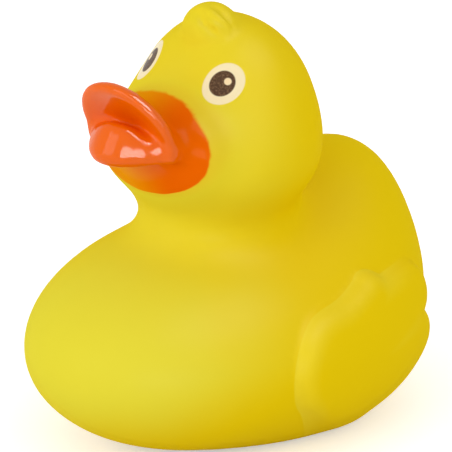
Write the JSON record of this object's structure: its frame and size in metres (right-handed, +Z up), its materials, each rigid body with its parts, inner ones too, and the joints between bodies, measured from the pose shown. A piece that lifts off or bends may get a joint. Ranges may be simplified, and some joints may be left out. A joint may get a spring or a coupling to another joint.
{
  "type": "squeezable toy duck",
  "caption": "Soft one-piece toy duck with folded wings, a raised tail, a tufted crown and a parted, upturned bill; stands on a flat base.",
  "frame": {"origin": "on the floor under the middle of the duck's bounding box", "axes": "+Z up, the duck faces -Y, its left side is +X"},
  "size_m": [0.0658, 0.0864, 0.0811],
  "materials": {
    "vinyl": "satin soft vinyl, glossy orange paint on the bill, painted eyes"
  },
  "bodies": {
    "root": {"duck": "vinyl"}
  },
  "joints": []
}
